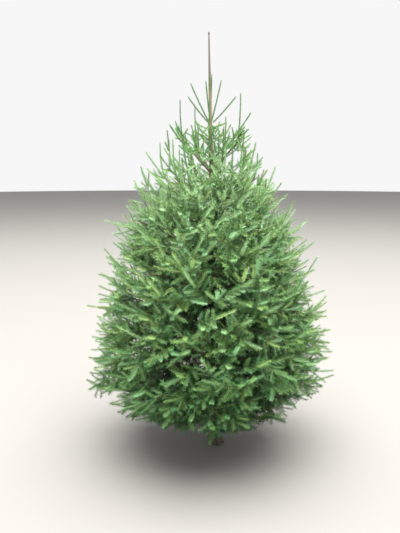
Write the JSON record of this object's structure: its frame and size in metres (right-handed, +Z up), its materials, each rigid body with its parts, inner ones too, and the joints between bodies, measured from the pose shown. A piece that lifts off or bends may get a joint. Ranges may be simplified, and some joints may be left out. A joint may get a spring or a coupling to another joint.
{
  "type": "young field-grown spruce christmas tree",
  "caption": "Whole young spruce rooted in level ground: one leaning trunk with a bare leader, whorls of boughs, and fans of needled shoots in a full cone.",
  "frame": {"origin": "on the ground, at the middle of the flat cut under the trunk", "axes": "+Z up, -Y towards the viewer of the front, +X to that viewer's right"},
  "size_m": [1.3664, 1.2882, 2.35],
  "materials": {
    "trunk_bark": "rough grey-brown bark, smoother and paler on the leader",
    "bough_bark": "thin tan to orange-brown bark on boughs and twigs",
    "low_needles": "satin, mid to dark green needles",
    "high_needles": "satin, mid to light green needles"
  },
  "bodies": {
    "root": {"trunk": "trunk_bark", "bough_1_1": "bough_bark", "foliage_1_1": "low_needles", "bough_1_2": "bough_bark", "foliage_1_2": "low_needles", "bough_1_3": "bough_bark", "foliage_1_3": "low_needles", "bough_1_4": "bough_bark", "foliage_1_4": "low_needles", "bough_1_5": "bough_bark", "foliage_1_5": "low_needles", "bough_2_1": "bough_bark", "foliage_2_1": "low_needles", "bough_2_2": "bough_bark", "foliage_2_2": "low_needles", "bough_2_3": "bough_bark", "foliage_2_3": "low_needles", "bough_2_4": "bough_bark", "foliage_2_4": "low_needles", "bough_2_5": "bough_bark", "foliage_2_5": "low_needles", "bough_3_1": "bough_bark", "foliage_3_1": "low_needles", "bough_3_2": "bough_bark", "foliage_3_2": "low_needles", "bough_3_3": "bough_bark", "foliage_3_3": "low_needles", "bough_3_4": "bough_bark", "foliage_3_4": "low_needles", "bough_3_5": "bough_bark", "foliage_3_5": "low_needles", "foliage_4_1": "low_needles", "foliage_4_2": "low_needles", "foliage_4_3": "low_needles", "foliage_4_4": "low_needles", "foliage_4_5": "low_needles", "foliage_5_1": "high_needles", "foliage_5_2": "high_needles", "foliage_5_3": "high_needles", "foliage_5_4": "high_needles", "foliage_5_5": "high_needles", "foliage_6_1": "high_needles", "foliage_6_2": "high_needles", "foliage_6_3": "high_needles", "foliage_6_4": "high_needles", "foliage_6_5": "high_needles", "foliage_7_1": "high_needles", "foliage_7_2": "high_needles", "foliage_7_3": "high_needles", "foliage_7_4": "high_needles", "foliage_7_5": "high_needles", "foliage_8_1": "high_needles", "foliage_8_2": "high_needles", "foliage_8_3": "high_needles", "foliage_8_4": "high_needles", "foliage_8_5": "high_needles", "foliage_top_1": "high_needles", "foliage_top_2": "high_needles", "foliage_top_3": "high_needles", "foliage_top_4": "high_needles"}
  },
  "joints": []
}
